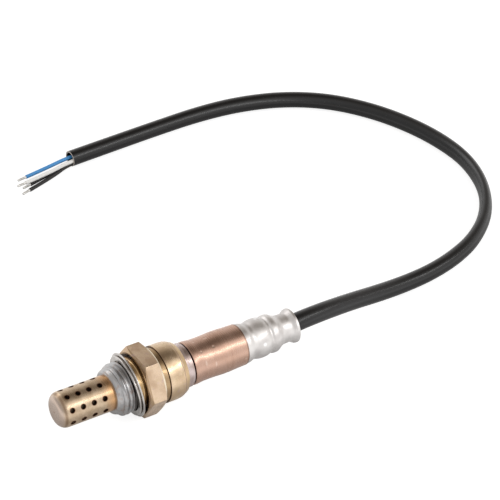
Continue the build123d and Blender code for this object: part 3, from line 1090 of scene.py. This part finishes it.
# %% Rear cap
CAP_WALL = 0.45
CAP_OUTLINE = [
    (43.9, 7.0),
    (45.4, 7.0, 0.5),
    (47.3, 6.3, 0.7),
    (49.2, 6.85, 0.8),
    (51.0, 7.0, 0.8),
    (52.6, 6.85, 0.6),
    (54.1, 6.2, 0.35),
    (55.0, 6.75, 0.4),
    (56.7, 6.75, 0.5),
    (59.2, 5.25, 0.8),
    (62.7, 5.05, 0.6),
    (64.4, 6.1, 0.25),
    (65.1, 6.1, 0.12),
]
CAP_DENTS = [(50.4, 162), (51.7, 70), (51.0, 283)]
CAP_DENT_DEPTH, CAP_DENT_REACH, DENTED_R = 0.1, 0.9, 6.9


def cap_finish():
    finish = metal_finish("satin_cap", colour(214, 210, 208), colour(232, 229, 227), 0.4, 5.0)
    base = finish.base
    for x, angle in CAP_DENTS:
        spot = worn_spot(finish, x, angle, CAP_DENT_REACH, CAP_DENT_REACH)
        base = finish.mix(spot, base, colour(255, 255, 255))
    return finish.done(Base_Color=base, Roughness=finish.gloss, Normal=finish.relief)


def rear_cap():
    bm = turned(CAP_OUTLINE, sides=200, longest=0.25, wall=CAP_WALL)
    for x, angle in CAP_DENTS:
        dent(bm, x, angle, DENTED_R, CAP_DENT_DEPTH, CAP_DENT_REACH, CAP_DENT_REACH)
    return to_mesh(bm, "rear_cap")


cap_metal = cap_finish()
add_piece("crimped_cap", rear_cap(), [cap_metal], "cap", "rear_cap")

# %% [markdown]
# ## Solids that keep their own mesh
#
# The nose tube, the front shell and the weld are exact as they came, holes and all, and so is
# all that is sealed inside. They only need their finishes. Ceramics are pale with faint specks,
# the contact strips are nickel bright, and the plug is dull rubber.

# %% Inner finishes
def ceramic_finish(name, low, high):
    finish = Finish(name, Roughness=0.55)
    cloud = finish.noise(1.2, 4.0)
    return finish.done(
        Base_Color=finish.mix(cloud, low, high), Normal=finish.bump(finish.noise(0.15), 0.01)
    )


def plug_finish():
    finish = Finish("dull_rubber_plug")
    cloud = finish.noise(0.8, 4.0)
    return finish.done(
        Base_Color=finish.mix(cloud, colour(20, 20, 21), colour(38, 37, 37)),
        Roughness=0.55 + cloud * 0.2,
        Normal=finish.bump(cloud, 0.04),
    )


inner_steel = plain_metal("sooted_inner_tube", colour(92, 78, 66), colour(128, 110, 92), 0.45)
nickel = plain_metal("nickel_contact", colour(182, 178, 170), colour(206, 202, 196), 0.3)
zirconia = ceramic_finish("zirconia", colour(196, 190, 178), colour(226, 222, 212))
alumina = ceramic_finish("alumina", colour(222, 218, 210), colour(240, 238, 232))
talc = ceramic_finish("pressed_talc", colour(176, 170, 160), colour(204, 200, 190))
plug_rubber = plug_finish()

# %% Finishes of the solids
NODE_FINISHES = {
    "outer_protection_tube": nose_metal,
    "inner_protection_tube": inner_steel,
    "inner_shell": shell_metal,
    "weld_seam": weld_metal,
    "zirconia_element": zirconia,
    "heater_rod": alumina,
    "insulator_bush": alumina,
    "contact_separator": alumina,
    "talc_packing": talc,
    "cable_grommet": plug_rubber,
    "lead_blue": blue_plastic,
    "lead_white": white_plastic,
    "lead_black_inner": black_plastic,
    "lead_black_outer": black_plastic,
}
for name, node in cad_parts.items():
    if not node.hide_render:
        node.data.materials.clear()
        node.data.materials.append(NODE_FINISHES.get(name, nickel))
        print(name, "has", node.data.materials[0].name)

# %% [markdown]
# ## Table, light and background
#
# The table is plain and pale. Its paint takes a little light and gives a little to the camera
# and to reflections, so that it shows white, keeps the sensor's soft shadow, and shines white
# in the metal. It is dimmer in a reflection close by, so that the undersides of the pieces
# aren't washed out. Polished metal only shows what stands round it, so the studio does the
# modelling: a room that is white at eye level, darker in a patch overhead and darker beyond the
# nose. A large softbox and a narrow strip high on the camera's right give the bright band along
# the sensor, and a weaker one stands behind.

# %% Table and room
TABLE_SIZE = 8.0
TABLE_DROP = 0.00002  # it lies this far under the lowest point
TABLE_GREY = 0.42
TABLE_GLOW = 0.82
NEAR_GLOW = 0.2  # share of the glow that a piece close above the table mirrors
NEAR_REACH = 0.05  # length of a mirrored ray at which it sees the full glow


def seen_glow(finish):
    """How much glow a ray sees: all of it from the camera, less of it in a reflection close by."""
    path = {
        kind: finish.node("ShaderNodeLightPath", out=kind)
        for kind in ("Is Camera Ray", "Is Glossy Ray", "Is Transmission Ray", "Ray Length")
    }
    far = finish.step(path["Ray Length"], 0, NEAR_REACH)
    mirrored = (path["Is Glossy Ray"] + path["Is Transmission Ray"]) * (
        NEAR_GLOW + far * (1 - NEAR_GLOW)
    )
    seen = path["Is Camera Ray"]
    return seen + (1 - seen) * mirrored


def table():
    bm = bmesh.new()
    bmesh.ops.create_grid(bm, x_segments=1, y_segments=1, size=TABLE_SIZE / 2)
    bmesh.ops.translate(bm, verts=bm.verts, vec=(AIM.x, AIM.y, FLOOR_Z - TABLE_DROP))
    mesh = bpy.data.meshes.new("table")
    bm.to_mesh(mesh)
    bm.free()
    piece = bpy.data.objects.new("table", mesh)
    bpy.context.scene.collection.objects.link(piece)
    finish = Finish(
        "white_table", Base_Color=(*[TABLE_GREY] * 3, 1), Roughness=1.0,
        Specular_IOR_Level=0.0, Emission_Color=(1, 1, 1, 1),
    )
    finish.feed(finish.shader.inputs["Emission Strength"], seen_glow(finish) * TABLE_GLOW)
    mesh.materials.append(finish.material)


DARK_WAY = Vector((0.39, 0.22, 0.89)).normalized()  # overhead and a little behind
ROOM_LIGHT = [  # cosine of a direction's angle to the dark one, and its brightness
    (0.3, (1.0, 0.99, 0.98, 1)),
    (0.64, (0.85, 0.83, 0.81, 1)),
    (0.87, (0.55, 0.52, 0.49, 1)),
    (0.95, (0.29, 0.26, 0.23, 1)),
    (1.0, (0.17, 0.15, 0.13, 1)),
]
DARK_END = 0.4  # how much darker the room is beyond the nose
DARK_FROM, DARK_TO = -0.85, -0.15  # X of the directions between which that fades


def room():
    world = bpy.data.worlds.new("room")
    bpy.context.scene.world = world
    world.use_nodes = True
    tree = world.node_tree

    def add(kind, **settings):
        node = tree.nodes.new(kind)
        for key, value in settings.items():
            setattr(node, key, value)
        return node

    place = add("ShaderNodeTexCoord")
    split = add("ShaderNodeSeparateXYZ")
    toward_dark = add("ShaderNodeVectorMath", operation="DOT_PRODUCT")
    toward_dark.inputs[1].default_value = DARK_WAY
    ramp = add("ShaderNodeValToRGB")
    Finish.set_stops(ramp.color_ramp, ROOM_LIGHT)
    nose_side = add("ShaderNodeMapRange", interpolation_type="SMOOTHSTEP")
    nose_side.inputs["From Min"].default_value = DARK_FROM
    nose_side.inputs["From Max"].default_value = DARK_TO
    nose_side.inputs["To Min"].default_value = 1 - DARK_END
    for source, target in (
        (place.outputs["Generated"], split.inputs[0]),
        (place.outputs["Generated"], toward_dark.inputs[0]),
        (toward_dark.outputs["Value"], ramp.inputs["Fac"]),
        (ramp.outputs["Color"], tree.nodes["Background"].inputs["Color"]),
        (split.outputs["X"], nose_side.inputs["Value"]),
        (nose_side.outputs["Result"], tree.nodes["Background"].inputs["Strength"]),
    ):
        tree.links.new(source, target)


table()
room()

# %% Softboxes
LIT_SPOT = Vector((0.02, 0, 0))


def softbox(name, toward, distance, size, strength):
    """An area lamp in a direction from the sensor's middle, turned to face it."""
    lamp = bpy.data.lights.new(name, "AREA")
    lamp.shape = "RECTANGLE"
    lamp.size, lamp.size_y = size
    lamp.energy = strength * math.pi * size[0] * size[1]
    light = bpy.data.objects.new(name, lamp)
    bpy.context.scene.collection.objects.link(light)
    direction = Vector(toward).normalized()
    light.location = LIT_SPOT + direction * distance
    light.rotation_mode = "QUATERNION"
    light.rotation_quaternion = direction.to_track_quat("Z", "Y")
    print(name, "at", [round(c, 2) for c in light.location], round(lamp.energy, 2), "W")


softbox("key_softbox", (0.39, -0.6, 0.69), 1.2, (1.0, 0.8), 0.55)
softbox("strip_light", (0.39, -0.65, 0.65), 1.1, (1.6, 0.08), 4.5)
softbox("back_softbox", (-0.2, 0.9, 0.6), 1.4, (0.9, 0.5), 1.2)

bpy.context.scene.view_settings.view_transform = "Standard"
